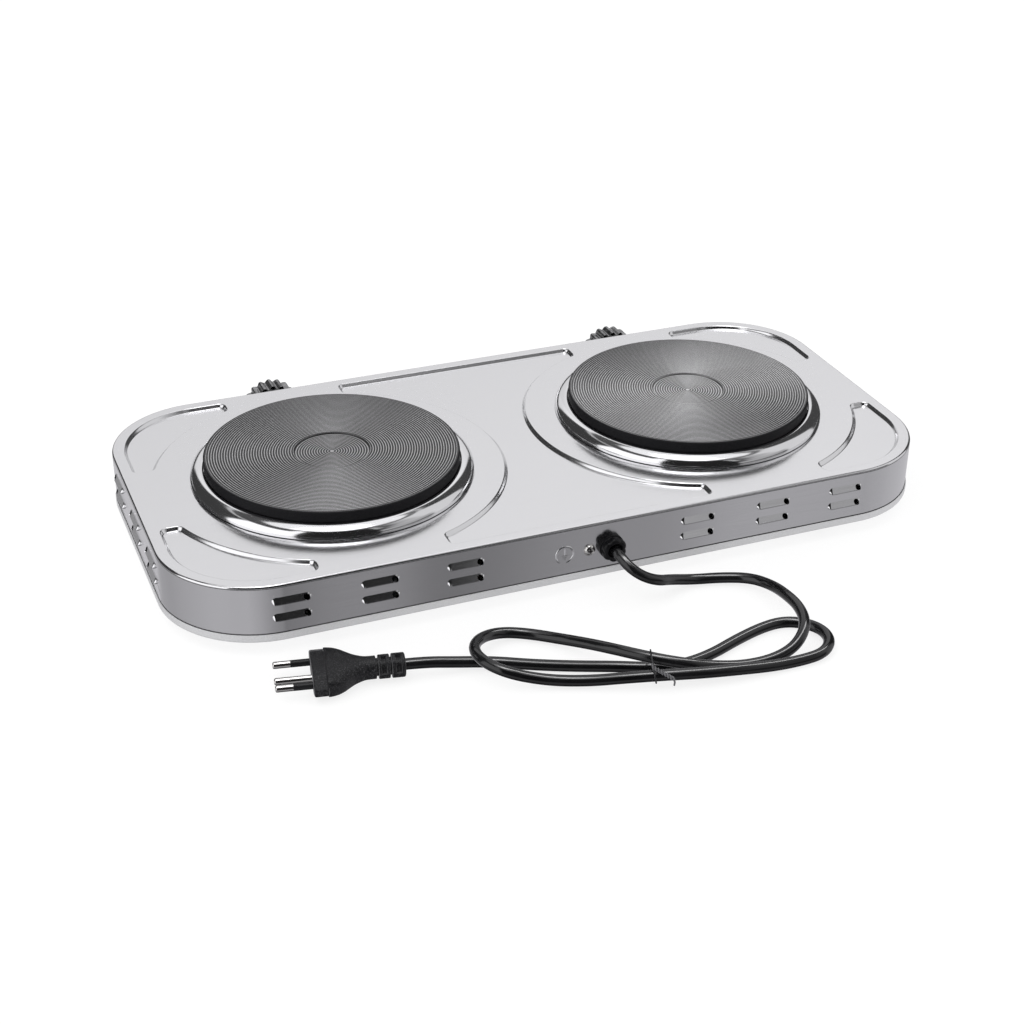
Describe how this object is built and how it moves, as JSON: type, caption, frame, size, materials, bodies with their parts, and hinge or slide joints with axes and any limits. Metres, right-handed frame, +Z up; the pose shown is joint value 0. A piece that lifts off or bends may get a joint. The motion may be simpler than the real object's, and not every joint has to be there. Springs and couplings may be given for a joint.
{
  "type": "double electric hot plate",
  "caption": "Free-standing twin hot plate: cast-iron heating plates on a rounded brushed-steel body with side louvres, rotary heat controls, rear mains cord and plug.",
  "frame": {"origin": "centre of the appliance's bounding box (cord and plug left out) on the standing surface", "axes": "+Z up, +X along the length towards the right-hand plate as seen from the control side, -Y towards the controls, +Y towards the rear where the cord leaves"},
  "size_m": [0.4564, 0.3504, 0.0544],
  "materials": {
    "brushed_stainless": "brushed, directional",
    "tray_steel": "satin",
    "zinc_steel": "zinc plated",
    "polished_trim": "polished",
    "plate_iron": "turned, fine concentric grooves, heat-resistant black finish",
    "coil_alloy": "drawn resistance wire",
    "magnesia": "pressed mineral",
    "ceramic": "unglazed steatite",
    "brass": "plain",
    "knob_plastic": "semi-gloss, ribbed",
    "black_plastic": "satin",
    "black_rubber": "satin",
    "pin_sleeve": "satin",
    "nickel": "nickel plated",
    "tie_plastic": "satin",
    "lamp_lens": "clear red",
    "lamp_body": "satin",
    "wire_live": "heat-resistant sleeve",
    "wire_neutral": "heat-resistant sleeve",
    "wire_earth": "heat-resistant sleeve"
  },
  "bodies": {
    "cooker": {"base_brackets": "zinc_steel", "base_screws": "zinc_steel", "base_tray": "tray_steel", "bush_nuts": "zinc_steel", "cable_gland": "black_plastic", "cable_tail": "black_rubber", "clamp_bridge_left": "zinc_steel", "clamp_bridge_right": "zinc_steel", "clamp_nuts": "zinc_steel", "coil_insulation_left": "magnesia", "coil_insulation_right": "magnesia", "control_bush_left": "brass", "control_bush_right": "brass", "cord_tie": "tie_plastic", "earth_nut": "zinc_steel", "earth_screw": "zinc_steel", "earth_terminal": "brass", "earth_washer": "zinc_steel", "earth_wire": "wire_earth", "foot_nuts": "zinc_steel", "foot_screws": "zinc_steel", "gland_nut": "black_plastic", "gland_sleeve": "black_rubber", "heating_coil_left": "coil_alloy", "heating_coil_right": "coil_alloy", "hot_plate_left": "plate_iron", "hot_plate_right": "plate_iron", "housing_shell": "brushed_stainless", "live_wires": "wire_live", "mains_block": "ceramic", "mains_block_screws": "zinc_steel", "neutral_wires": "wire_neutral", "pilot_lamp_bodies": "lamp_body", "pilot_lenses": "lamp_lens", "plate_cover_left": "zinc_steel", "plate_cover_right": "zinc_steel", "plate_studs": "zinc_steel", "plate_terminal_left": "ceramic", "plate_terminal_right": "ceramic", "plate_terminal_tabs": "brass", "plug_body": "black_plastic", "plug_earth_pin": "nickel", "plug_pin_sleeves": "pin_sleeve", "plug_pins": "nickel", "power_cord": "black_rubber", "regulator_blades": "brass", "regulator_body_left": "ceramic", "regulator_body_right": "ceramic", "regulator_frame_left": "zinc_steel", "regulator_frame_right": "zinc_steel", "rubber_feet": "black_rubber", "switched_wires": "wire_live", "trim_ring_left": "polished_trim", "trim_ring_right": "polished_trim"},
    "left_control": {"knob_left": "knob_plastic", "knob_spring_left": "zinc_steel", "control_shaft_left": "zinc_steel"},
    "right_control": {"knob_right": "knob_plastic", "knob_spring_right": "zinc_steel", "control_shaft_right": "zinc_steel"}
  },
  "joints": [
    {"name": "left_control_turn", "type": "hinge", "parent": "cooker", "child": "left_control", "pos_m": [-0.116, -0.10625, 0.025], "axis": [0, 1, 0], "range_deg": [0, 270]},
    {"name": "right_control_turn", "type": "hinge", "parent": "cooker", "child": "right_control", "pos_m": [0.116, -0.10625, 0.025], "axis": [0, 1, 0], "range_deg": [0, 270]}
  ]
}
